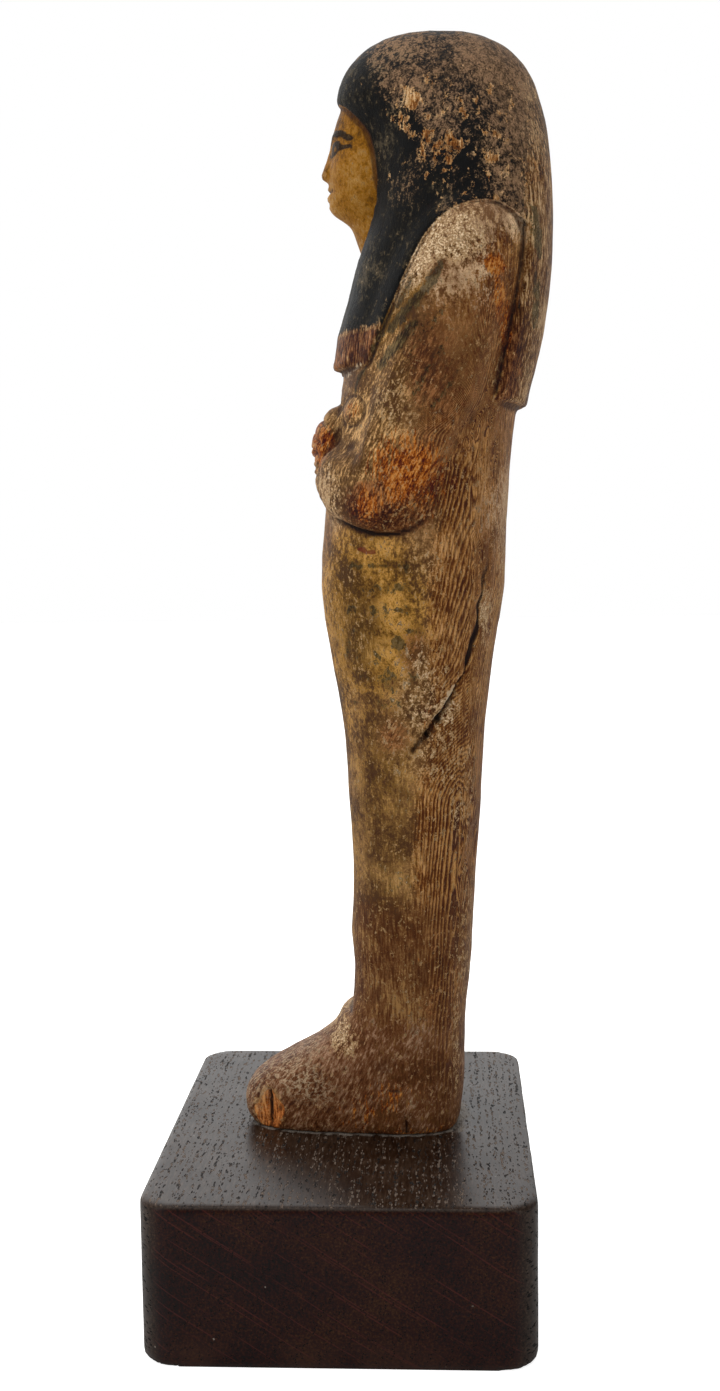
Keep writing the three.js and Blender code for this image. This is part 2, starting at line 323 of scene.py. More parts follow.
def makeRoom():
    scene = bpy.context.scene
    scene.view_settings.view_transform = "Standard"
    scene.view_settings.look = "None"
    world = bpy.data.worlds.new("paleRoom")
    scene.world = world
    world.use_nodes = True
    tree = world.node_tree
    # The room is brightest low down behind the figure, and dim on the camera's side.
    direction = tree.nodes.new("ShaderNodeTexCoord").outputs["Generated"]
    split = tree.nodes.new("ShaderNodeSeparateXYZ")
    tree.links.new(direction, split.inputs[0])

    def fade(axis, ends, levels):
        node = tree.nodes.new("ShaderNodeMapRange")
        node.interpolation_type = "SMOOTHSTEP"
        for name, number in zip(("From Min", "From Max", "To Min", "To Max"), ends + levels):
            node.inputs[name].default_value = number
        tree.links.new(split.outputs[axis], node.inputs["Value"])
        return node.outputs[0]

    product = tree.nodes.new("ShaderNodeMath")
    product.operation = "MULTIPLY"
    tree.links.new(fade(0, (-0.9, 0.3), (1.55, 0.12)), product.inputs[0])
    tree.links.new(fade(1, (-0.3, 0.8), (1.15, 0.5)), product.inputs[1])
    seen = tree.nodes.new("ShaderNodeLightPath").outputs["Is Camera Ray"]
    pick = tree.nodes.new("ShaderNodeMix")
    tree.links.new(seen, pick.inputs["Factor"])
    tree.links.new(product.outputs[0], pick.inputs[2])
    pick.inputs[3].default_value = 1.0
    background = tree.nodes["Background"]
    background.inputs["Color"].default_value = (1, 1, 1, 1)
    tree.links.new(pick.outputs[0], background.inputs["Strength"])

    bpy.ops.mesh.primitive_plane_add(size=6, location=(0, 0, 0))
    floor = bpy.context.object
    floor.name = "studioFloor"
    kit = Nodes("white studio floor")
    tone = kit.ramp(kit.noise(0.004, 2), (0.3, "dededc"), (0.7, "e4e4e2"))
    floor.data.materials.append(kit.finish(tone, 0.9, kit.noise(0.05, 2), 0.0001))
    kit.shader.inputs["Emission Color"].default_value = (1, 1, 1, 1)
    lit = kit.math("MULTIPLY", kit.new("ShaderNodeLightPath").outputs["Is Camera Ray"], 0.8)
    kit.plug(kit.shader.inputs["Emission Strength"], lit)

    makeSoftLight("topSoftBox", (0.25, -0.1, 1.1), (0.9, 0.9), 5.2)
    makeSoftLight("leftSoftBox", (0.62, -0.85, 0.5), (0.5, 0.9), 5.4)
    makeSoftLight("rightSoftBox", (0.62, 0.9, 0.4), (0.5, 0.9), 3.2)


makeCamera()
makeRoom()
print("camera and room ready")


# ---- the display block: dark stained, open-grained wood ----

block = {
    "cornerRadius": 0.007,
    "cornerSteps": 12,
    "easedEdge": 0.0007,
    "easedSteps": 3,
    "handWork": 0.00010,  # unevenness of the sides
}


def makeBlock():
    size = blockHigh - blockLow
    deselectAll()
    bpy.ops.mesh.primitive_cube_add(size=1, location=(0, 0, 0))
    piece = bpy.context.object
    piece.name = "dark_wood_block"
    bpy.ops.object.mode_set(mode="EDIT")
    bpy.ops.transform.resize(value=size)
    bpy.ops.transform.translate(value=(blockLow + blockHigh) / 2)
    mesh = bmesh.from_edit_mesh(piece.data)

    def pick(test):
        bpy.ops.mesh.select_all(action="DESELECT")
        for edge in mesh.edges:
            edge.select_set(test(edge))
        bmesh.update_edit_mesh(piece.data)

    bpy.context.tool_settings.mesh_select_mode = (False, True, False)
    pick(lambda edge: abs(edge.verts[0].co.z - edge.verts[1].co.z) > 0.01)
    bpy.ops.mesh.bevel(offset=block["cornerRadius"], segments=block["cornerSteps"], affect="EDGES")
    mesh = bmesh.from_edit_mesh(piece.data)
    low, high = blockLow.z, blockHigh.z
    pick(lambda edge: all(abs(v.co.z - high) < 1e-5 for v in edge.verts)
         or all(abs(v.co.z - low) < 1e-5 for v in edge.verts))
    bpy.ops.mesh.bevel(offset=block["easedEdge"], segments=block["easedSteps"], affect="EDGES")
    bpy.ops.object.mode_set(mode="OBJECT")
    applyModifier(piece, "TRIANGULATE", "split")
    applyModifier(piece, "REMESH", "evenMesh", mode="VOXEL", voxel_size=0.0009)
    applyModifier(piece, "SMOOTH", "softEdges", factor=0.5, iterations=1)
    count = len(piece.data.vertices)
    places = np.zeros(count * 3)
    normals = np.zeros(count * 3)
    piece.data.vertices.foreach_get("co", places)
    piece.data.vertices.foreach_get("normal", normals)
    places = places.reshape(-1, 3)
    normals = normals.reshape(-1, 3)
    wobble = softNoise(places * 1000, 9, 3) * 0.6 + softNoise(places * 1000, 3, 4) * 0.4
    level = smoothStep(np.abs(normals[:, 2]), 0.5, 0.9)
    places -= normals * (block["handWork"] * (1 + wobble) * (1 - level))[:, None]
    piece.data.vertices.foreach_set("co", places.ravel())
    piece.data.update()
    soleGap = np.clip(outsideSole(toFigure(places)), 0, 20)
    store = piece.data.attributes.new("soleGap", "FLOAT", "POINT")
    store.data.foreach_set("value", soleGap.astype(np.float32))
    makeActive(piece)
    bpy.ops.object.shade_smooth_by_angle(angle=math.radians(50))
    piece.data.materials.append(makeBlockMaterial())
    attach(piece, "root")
    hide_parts("display_block")
    print("block", len(piece.data.polygons), "faces")


blockFinish = {
    "rayTilt": math.radians(-33),  # how the rays run over the end grain
    "ringWidth": 3.4,
    "endTones": "100907 1c120e 26180f 2e1e15 3a281d",
    "sideTones": "17120f 231b17 2b221d 332923 463931",
    "ray": "4a1f1a",
    "poreDust": "6b5c50",
    "veil": "8f877d",
}


def makeBlockMaterial():
    kit = Nodes("dark stained block wood")
    facing = kit.new("ShaderNodeNewGeometry").outputs["Normal"]
    endGrain = kit.step(kit.math("ABSOLUTE", kit.vector("DOT_PRODUCT", facing, (1, 0, 0))), 0.75, 0.95)
    topFace = kit.step(kit.vector("DOT_PRODUCT", facing, (0, 0, 1)), 0.6, 0.9)
    tilt = blockFinish["rayTilt"]
    acrossRay = kit.vector("DOT_PRODUCT", kit.mm, (0, -math.sin(tilt), math.cos(tilt)))

    # Pores are long in x, and gather in the early wood of each ring.
    alongRay = kit.vector("DOT_PRODUCT", kit.mm, (0, math.cos(tilt), math.sin(tilt)))
    warp = kit.noise(0.05, 2)
    ring = kit.math("FRACT", kit.math("DIVIDE", kit.plus(alongRay, kit.times(warp, 6.0)),
        blockFinish["ringWidth"]))
    early = kit.step(kit.math("ABSOLUTE", kit.math("SUBTRACT", ring, 0.5)), 0.42, 0.18)
    onTop, onSide, onEnd = (kit.squeeze(f) for f in ((0.6, 2.3, 0.0), (0.6, 0.0, 2.3), (0.0, 1.7, 1.7)))
    onFace = kit.mix(endGrain, kit.mix(topFace, onSide, onTop), onEnd)
    poreCell = kit.cells(1.0, source=onFace)
    rows = kit.math("FRACT", kit.plus(kit.vector("DOT_PRODUCT", kit.mm, (0.0, 0.72, 0.45)),
        kit.times(kit.noise(0.12, 2), 1.6)))
    inRow = kit.times(kit.step(kit.math("ABSOLUTE", kit.math("SUBTRACT", rows, 0.5)), 0.34, 0.16), kit.math(
        "SUBTRACT", 1.0, endGrain))
    poreSize = kit.plus(0.12, kit.times(early, 0.15), kit.times(inRow, 0.24), kit.times(endGrain, 0.03))
    pore = kit.step(kit.math("SUBTRACT", poreSize, poreCell), 0.0, 0.10)

    blotch = kit.noise(0.07, 3)
    fine = kit.noise(1.0, 5, 0.65, source=kit.squeeze((0.3, 2.2, 2.2)))
    tone = kit.plus(kit.times(blotch, 0.28), kit.times(fine, 0.72))
    base = kit.mix(endGrain, kit.tones(tone, blockFinish["sideTones"], 0.09),
                   kit.tones(tone, blockFinish["endTones"], 0.09))

    # Rays show on the end grain as thin straight red-brown lines.
    waver = kit.plus(acrossRay, kit.times(kit.noise(0.03, 1), 2.0))
    rays = 0.0
    for gap, start, width, seed in ((5.3, 0.0, 0.016, 3), (7.9, 2.1, 0.011, 11), (4.3, 1.3, 0.014, 19)):
        spot = kit.math("FRACT", kit.math("DIVIDE", kit.plus(waver, start), gap))
        line = kit.step(kit.math("ABSOLUTE", kit.math("SUBTRACT", spot, 0.5)), width * 2.2, width * 0.6)
        broken = kit.noise(1.0, 2, source=kit.squeeze((0.1, 0.05, 0.11), 0, kit.vector(
            "ADD", kit.mm, (seed, seed * 1.7, seed * 0.6))))
        rays = kit.plus(rays, kit.times(line, kit.step(broken, 0.42, 0.60)))
    base = kit.mix(kit.times(rays, endGrain, 0.5), base, linear(blockFinish["ray"]))
    lowBand = kit.times(kit.step(kit.vector("DOT_PRODUCT", kit.mm, (0, 0, 1)), 7.5, 1.0),
        kit.step(blotch, 0.4, 0.62))
    base = kit.mix(kit.times(lowBand, 0.35), base, linear("3a241b"))

    # Open pores are black on the sides and hold a little pale dust on the top.
    base = kit.mix(kit.times(pore, kit.math("SUBTRACT", 1.0, topFace), 0.9), base, linear("090706"))
    dusty = kit.times(topFace, kit.step(kit.noise(0.5, 3), 0.42, 0.54))
    base = kit.mix(kit.times(pore, dusty, 0.8), base, linear(blockFinish["poreDust"]))
    base = kit.mix(kit.times(pore, kit.math("SUBTRACT", topFace, dusty), 0.9), base, linear("0c0908"))
    speck = kit.times(kit.step(kit.cells(0.26), 0.07, 0.04), kit.step(kit.noise(0.2, 2), 0.55, 0.62))
    base = kit.mix(kit.times(speck, 0.7), base, linear("9b9186"))

    # A thin veil of dust and old adhesive lies round the sole, thickest behind the heel.
    heel = kit.math("SUBTRACT", 1.0, kit.step(kit.drawn("soleGap"), 0.5, 5.5))
    heel = kit.times(heel, kit.step(kit.vector("DOT_PRODUCT", kit.mm, (0, 1, 0)), 19.0, 24.0))
    veil = kit.times(topFace, kit.step(kit.plus(heel, kit.times(kit.noise(0.5, 5, 0.6), 1.2)), 1.15, 1.7))
    around = kit.math("SUBTRACT", 1.0, kit.step(kit.drawn("soleGap"), 0.3, 2.4))
    line = kit.times(topFace, kit.step(kit.plus(around, kit.times(kit.noise(0.45, 5, 0.6), 1.9)), 1.64, 2.08))
    dust = kit.math("MAXIMUM", kit.times(veil, 0.8), kit.times(line, 0.55))
    base = kit.mix(dust, base, linear(blockFinish["veil"]))

    gloss = kit.plus(0.23, kit.times(kit.noise(0.12, 3), 0.14), kit.times(pore, 0.4), kit.times(veil, 0.35))
    gloss = kit.plus(gloss, kit.times(kit.math("SUBTRACT", 1.0, topFace), 0.10))
    height = kit.plus(kit.times(pore, -0.12), kit.times(fine, 0.004))
    height = kit.plus(height, kit.times(kit.noise(0.10, 2), 0.04))
    kit.shader.inputs["Specular IOR Level"].default_value = 0.15
    return kit.finish(base, gloss, height)


makeBlock()


# ---- the figurine ----

figure = {
    "voxel": 0.00066,
    "smoothing": 9,
    "handWork": 0.16,  # mm of unevenness from the carver's hand
}

# Lines of the carving, as the side (y, height) or the front (x, height) shows them.
faceOpening = curvePoints(
    ((0, 209.5), (6.5, 209.5), (11.2, 207), (11.6, 199)),
    ((11.6, 199), (11.9, 192), (11.0, 186), (7.6, 178)),
    ((7.6, 178), (5.6, 173), (4.4, 166), (4.4, 152)))
lappetEdge = curvePoints(
    ((8.2, 156), (11.3, 162.5), (15.2, 171.2), (18.9, 177.6)),
    ((18.9, 177.6), (22.6, 183.6), (27.6, 185.8), (32.3, 185.8)),
    ((32.3, 185.8), (35.8, 185.6), (38.9, 182.6), (42, 178.5)))
lappetEnd, backLappetEnd, backHalf = 156.0, 149.0, 15.5
armEdge = curvePoints(((34, 153.5), (30, 148), (24.5, 138.5), (17, 126)))
elbowGap = curvePoints(((0.5, 126.8), (6, 122.9), (14, 121.3), (18.8, 125.4)))
longCrack = curvePoints(
    ((31, 122), (30.2, 113), (28.5, 104), (26, 95.5)),
    ((26, 95.5), (24.2, 91), (21.6, 87), (16, 80.6)))
toeChip = [(-19.3, 4.4), (-17.6, 6.2), (-16.0, 8.6), (-15.2, 8.6), (-11.8, 5.2), (-13.6, 0.1), (-17.2, 0.0),
    (-18.7, 1.8),
           (-19.3, 4.4)]


class Surface:  # the figure's points and normals, in its own frame, with the masks that the carving needs
    def __init__(self, mesh):
        count = len(mesh.vertices)
        places, normals = np.zeros(count * 3), np.zeros(count * 3)
        mesh.vertices.foreach_get("co", places)
        mesh.vertices.foreach_get("normal", normals)
        self.points = toFigure(places.reshape(-1, 3))
        self.normals = turnIn(normals.reshape(-1, 3))
        self.x, self.y, self.z = self.points.T
        nx, ny, nz = self.normals.T
        self.near, self.far = smoothStep(nx, 0.05, 0.45), smoothStep(-nx, 0.05, 0.45)
        self.sides = self.near + self.far
        self.front, self.back = smoothStep(-ny, 0.1, 0.6), smoothStep(ny, 0.1, 0.6)
        self.top = smoothStep(nz, 0.3, 0.8)
        self.crack = alongLine(self.y + 0.5 * softNoise(self.points, 2.6, 21), self.z, longCrack)

    def seen(self, side):
        return {"near": self.near, "far": self.far, "sides": self.sides, "front": self.front,
            "back": self.back,
                "top": self.top}[side]

    def patch(self, side, middle, reach, tilt=0.0, soft=0.6):  # a soft oval, in the view of that side
        across = (self.y if side in ("near", "far", "sides") else self.x) - middle[0]
        up = (self.y if side == "top" else self.z) - middle[1]
        c, s = math.cos(math.radians(tilt)), math.sin(math.radians(tilt))
        distance = np.hypot((across * c + up * s) / reach[0], (up * c - across * s) / reach[1])
        return self.seen(side) * (1 - smoothStep(distance, 1 - soft, 1 + soft))

    def wigDepth(self):  # mm inside the wig's edge, less than 0 outside it
        away, side, _ = alongLine(self.y, self.z, lappetEdge)
        beyond = np.where(side > 0, away, -away)
        beyond = np.maximum(beyond, backHalf - np.abs(self.x))
        ends = self.z - np.where(self.y < 20, lappetEnd, backLappetEnd)
        away, side, _ = alongLine(np.abs(self.x), self.z, faceOpening)
        inside = np.where((side < 0) & (self.z < 209.5), away, -away)
        opening = np.maximum(-inside, (self.y - 13.0))
        return np.minimum(np.minimum(beyond, ends), opening)

    def faceDepth(self):  # mm inside the opening round the face and neck
        away, side, _ = alongLine(np.abs(self.x), self.z, faceOpening)
        inside = np.where((side < 0) & (self.z < 209.5), away, -away)
        return np.minimum(np.minimum(inside, 13.0 - self.y), self.z - 176.0)


# The face is a plain, calm one on even thirds between hairline and chin.
face = {"hairline": 209.5, "chin": 188.0, "eyeOut": 4.7, "eyeHalf": 2.7}


def faceCarving(shape):
    third = (face["hairline"] - face["chin"]) / 3
    brow, noseEnd = face["chin"] + 2 * third, face["chin"] + third
    mouth, eye = face["chin"] + 0.6 * third, face["chin"] + 2 * third - 2.4
    x, z = shape.x, shape.z
    side = np.abs(x)
    front = (shape.faceDepth() > 0.4) * smoothStep(-shape.normals[:, 1], 0.05, 0.4) * (z > 186)
    lid = np.clip(1 - ((side - face["eyeOut"]) / face["eyeHalf"]) ** 2, 0, 1)
    upper, lower = z - (eye + 1.05 * lid), (eye - 0.75 * lid) - z
    within = (lid > 0) * smoothStep(-np.maximum(upper, lower), 0, 0.4)
    rim = (lid > 0.02) * np.exp(-(np.minimum(np.abs(upper), np.abs(lower)) / 0.35) ** 2)
    relief = 0.28 * within * lid + 0.22 * rim
    relief -= 0.30 * hill(side - face["eyeOut"], 3.0, z - eye - 1.9, 0.45)  # the fold over the lid
    relief += 0.25 * hill(side - 4.9, 3.6, z - brow, 0.7)
    relief -= 0.60 * hill(x, 3.1, z - mouth + 0.12 * np.cos(x * 1.4), 0.42)  # between the lips
    relief += 0.30 * hill(side - 0.9, 1.2, z - mouth - 0.8, 0.5) + 0.30 * hill(x, 2.2, z - mouth + 0.9, 0.55)
    relief -= 0.25 * hill(x, 0.5, z - mouth - 1.9, 0.7)
    relief -= 0.30 * hill(side - 3.6, 0.6, z - mouth, 0.6)
    relief -= 0.45 * hill(side - 1.3, 0.55, z - noseEnd + 0.1, 0.45)
    relief -= 0.35 * hill(side - 2.9, 0.7, z - noseEnd - 0.8, 1.4)
    relief += 0.25 * hill(side - 2.0, 0.7, z - noseEnd - 0.9, 0.8)
    relief -= 0.3 * hill(x, 2.4, z - mouth + 2.1, 0.5)
    return relief * front


def fistCarving(shape):  # the fingers of the two closed hands
    relief = np.zeros(len(shape.x))
    for side in (-1, 1):
        across, up = (shape.x - side * 7.4) / 6.2, (shape.z - 142.4) / 7.2
        inside = smoothStep(1.05 - np.hypot(across, up), 0, 0.35) * (shape.y < 6) * shape.front
        tilted = shape.z + side * shape.x * 0.35
        relief -= inside * 0.65 * np.exp(-((np.mod(tilted + 0.6, 3.3) - 1.65) / 0.5) ** 2)
        rim = np.exp(-(((np.hypot(across, up) - 1.1) / 0.13) ** 2))
        relief -= 0.7 * rim * (shape.y < 7) * shape.front
    hands = smoothStep(-shape.normals[:, 1], -0.2, 0.5) * (shape.y < 6) * (np.abs(shape.x) < 17)
    relief -= 0.8 * hands * hill(0, 1, shape.z - 139.5, 9)
    relief -= 0.45 * hands * np.exp(-(((shape.z - 138.6 - 0.25 * shape.x * 0.4) / 0.8) ** 2))
    knob = np.hypot(shape.y - 4.6, shape.z - 147.2)
    relief += shape.sides * (0.7 * np.exp(-((knob / 1.9) ** 2)) - 0.35 * np.exp(-(((knob - 3.0) / 0.6) ** 2)))
    return relief


def carve(piece):
    mesh = piece.data
    shape = Surface(mesh)
    p = shape.points
    relief = figure["handWork"] * (softNoise(p, (9, 9, 16), 11) + 0.5 * softNoise(p, (3.2, 3.2, 6), 12))
    relief += 0.05 * softNoise(p, (1.3, 1.3, 3.4), 13)
    wig = shape.wigDepth()
    relief *= 1 - 0.6 * smoothStep(shape.faceDepth(), 0, 1)

    # The wig stands a little proud of the face and the shoulder, with a soft step.
    relief += 0.28 * smoothStep(wig, -0.35, 0.45) * np.exp(-((np.clip(wig, 0, 30) / 2.2) ** 2))
    relief -= 0.18 * shape.sides * np.exp(-((wig + 0.5) / 0.5) ** 2) * (shape.z > 150)

    # The edge of the arm is cut in, deepest under the elbow.
    away, side, share = alongLine(shape.y, shape.z, armEdge)
    relief -= 0.35 * shape.sides * np.exp(-((away / 0.8) ** 2)) * smoothStep(share, 0.05, 0.3)
    away, side, share = alongLine(shape.y, shape.z, elbowGap)
    relief -= 1.0 * shape.sides * np.exp(-((away / 0.55) ** 2)) * np.sin(np.pi * np.clip(share, 0.04,
        0.96)) ** 0.5

    # The long crack in the left side, with a lost edge low down.
    away, side, share = shape.crack
    width = 0.30 + 0.35 * smoothStep(share, 0.55, 0.95)
    relief -= shape.near * (0.25 + 1.0 * smoothStep(share, 0.1, 0.8)) * np.exp(-((away / width) ** 2))
    relief -= shape.near * 0.45 * (side > 0) * smoothStep(share, 0.4, 0.7) * np.exp(-((away / 1.6) ** 2))
    for y, z, reach, deep in ((21.4, 86.8, 0.8, 1.0), (19.0, 83.6, 0.7, 0.9)):
        relief -= shape.near * deep * hill(shape.y - y, reach, shape.z - z, reach * 1.3)

    # Small damage: a chip off the toes in two facets, a nick and a drying crack near the heel.
    chip = chipDepth(shape)
    relief -= np.clip(chip * 0.75, 0, 0.9) * shape.near
    relief -= shape.near * (chip > -0.3) * 0.9 * np.exp(-(((shape.y + 15.6) / 0.32) ** 2)) * (shape.z < 8.6)
    relief -= 0.7 * shape.near * hill(shape.y - 13.2 - 0.3 * np.sin(shape.z), 0.32, shape.z - 1.5, 4.5)
    relief -= 0.4 * shape.near * hill(shape.y - 10.8, 2.2, shape.z - 9.5 + 0.08 * (shape.y - 10.8) ** 2, 0.35)
    for side, y, z, reach, deep in (("near", 30.6, 107, 2.0, 0.5), ("front", 3, 158, 3.5, 0.5),
        ("back", 6, 60, 3.0, 0.5),
                                    ("far", -14, 5, 3.0, 0.7), ("back", -5, 4, 3.5, 0.8),
                                    ("far", 20, 140, 2.4, 0.3)):
        edge = shape.patch(side, (y, z), (reach, reach * 1.4), soft=0.35)
        relief -= deep * edge * (0.7 + 0.3 * softNoise(p, 1.4, 31))
    # Worn, ragged lappet ends.
    ends = np.exp(-(((shape.z - lappetEnd - 1.0) / 1.6) ** 2)) * (wig > -1) * (shape.y < 16)
    relief -= ends * np.clip(0.35 * softNoise(p, 2.6, 41) + 0.1, 0, 1)

    frontLow = shape.front * smoothStep(2.2 - shape.y, 0, 1.6)
    relief += frontLow * -1.25 * np.exp(-(((shape.z - 25.5) / 1.1) ** 2))
    relief += faceCarving(shape) + fistCarving(shape)
    moved = p + shape.normals * relief[:, None]
    moved[:, 2] = np.where(p[:, 2] < 0.35, p[:, 2], moved[:, 2])
    mesh.vertices.foreach_set("co", fromFigure(moved).ravel())
    mesh.update()
    return shape, wig, chip


def chipDepth(shape):
    away, side, _ = alongLine(shape.y, shape.z, toeChip)
    inside = side < 0
    return np.where(inside, away, -away) + 0.25 * softNoise(shape.points, 1.1, 51)


def strokes(shape, drawings):  # painted strokes: side, half width, strength, points
    covered = np.zeros(len(shape.x))
    p = shape.points
    waver = 0.18 * softNoise(p, 1.5, 71)
    for side, half, strength, line in drawings:
        across = shape.y if side in ("near", "far", "sides") else shape.x
        across = np.abs(across) if side == "bothEyes" else across
        seen = shape.front if side == "bothEyes" else shape.seen(side)
        away, _, share = alongLine(across + waver, shape.z + waver, line)
        taper = half * (0.6 + 0.4 * np.sin(np.pi * np.clip(share, 0.05, 0.95)))
        covered = np.maximum(covered, seen * strength * (1 - smoothStep(away, 0, taper * 2.0)))
    return covered


faceLines = [
    ("bothEyes", 0.62, 1.0, [(1.9, 201.9), (3.4, 202.9), (5.4, 203.1), (7.4, 202.4), (9.4, 201.2)]),
    ("bothEyes", 0.5, 1.0, [(2.0, 199.7), (3.2, 200.8), (4.7, 201.1), (6.2, 200.8), (7.4, 199.9),
        (9.6, 199.4)]),
    ("bothEyes", 0.36, 0.9, [(2.0, 199.7), (3.4, 199.1), (4.7, 199.0), (6.2, 199.2), (7.4, 199.9)]),
    ("bothEyes", 0.85, 0.9, [(4.5, 200.0), (4.9, 200.0)]),
]
collarLines = [
    ("sides", 1.1, 0.95, [(23.5, 173.5), (21.5, 170.5), (19.4, 167.2)]),
    ("sides", 1.3, 1.0, [(20.3, 168.6), (17.0, 165.4), (13.2, 162.0)]),
    ("sides", 1.2, 0.95, [(18.4, 162.6), (14.6, 158.6), (11.0, 155.0)]),
    ("sides", 0.8, 0.5, [(24.3, 159.5), (21.2, 154.6), (18.0, 149.4)]),
    ("sides", 0.7, 0.5, [(24.0, 165.5), (20.5, 161.5), (17.5, 157.0)]),
    ("sides", 0.55, 0.9, [(7.8, 155.2), (6.4, 153.2), (5.5, 151.0)]),
    ("sides", 0.7, 0.9, [(13.8, 166.5), (11.0, 161.0), (8.6, 156.4)]),
    ("sides", 0.9, 0.8, [(17.6, 171.5), (14.6, 166.0)]),
    ("sides", 0.8, 0.95, [(40.0, 185), (40.6, 180), (40.9, 176.5)]),
    ("sides", 0.75, 0.9, [(40.3, 173), (40.5, 168), (40.0, 163.5)]),
    ("sides", 0.7, 0.85, [(39.6, 159), (38.4, 153)]),
    ("sides", 0.6, 0.7, [(26.0, 153.5), (23.6, 149.5), (20.4, 145.8)]),
]


def glyphRows():  # rows of short worn strokes down the front of the wrapping
    rng = np.random.default_rng(7)
    marks = []
    for row in range(7):
        z = 117.0 - row * 4.4 + rng.uniform(-0.6, 0.6)
        for column in range(6):
            y = 4.6 + column * 2.3 + rng.uniform(-0.5, 0.5)
            kind = rng.integers(0, 4)
            tall, wide = rng.uniform(0.8, 1.5), rng.uniform(0.7, 1.2)
            weight = rng.uniform(0.6, 1.0) - (0.0 if row < 3 else rng.uniform(0.1, 0.6))
            if kind == 0:
                line = [(y, z - tall), (y + 0.2, z + tall)]
            elif kind == 1:
                line = [(y - wide, z + 0.2), (y + wide, z - 0.1)]
            elif kind == 2:
                line = [(y - wide, z - 0.5), (y, z + 0.7), (y + wide, z - 0.4)]
            else:
                line = [(y - 0.5, z + 0.8), (y + 0.4, z), (y - 0.4, z - 0.8)]
            if math.hypot(y - 13.8, z - 102.1) > 3.4:
                marks.append(("sides", 0.46, weight, line))
    return marks


def hollowness(mesh, rounds=11):  # mm below the smoothed surface: more than 0 in hollows, less on ridges
    count = len(mesh.vertices)
    places, normals = np.zeros(count * 3), np.zeros(count * 3)
    mesh.vertices.foreach_get("co", places)
    mesh.vertices.foreach_get("normal", normals)
    places, normals = places.reshape(-1, 3) * 1000, normals.reshape(-1, 3)
    ends = np.zeros(len(mesh.edges) * 2, dtype=np.int32)
    mesh.edges.foreach_get("vertices", ends)
    a, b = ends[0::2], ends[1::2]
    neighbours = np.bincount(a, minlength=count) + np.bincount(b, minlength=count)
    smooth = places.copy()
    for _ in range(rounds):
        for axis in range(3):
            total = np.bincount(a, smooth[b, axis], count) + np.bincount(b, smooth[a, axis], count)
            smooth[:, axis] = total / neighbours
    return ((smooth - places) * normals).sum(axis=1)


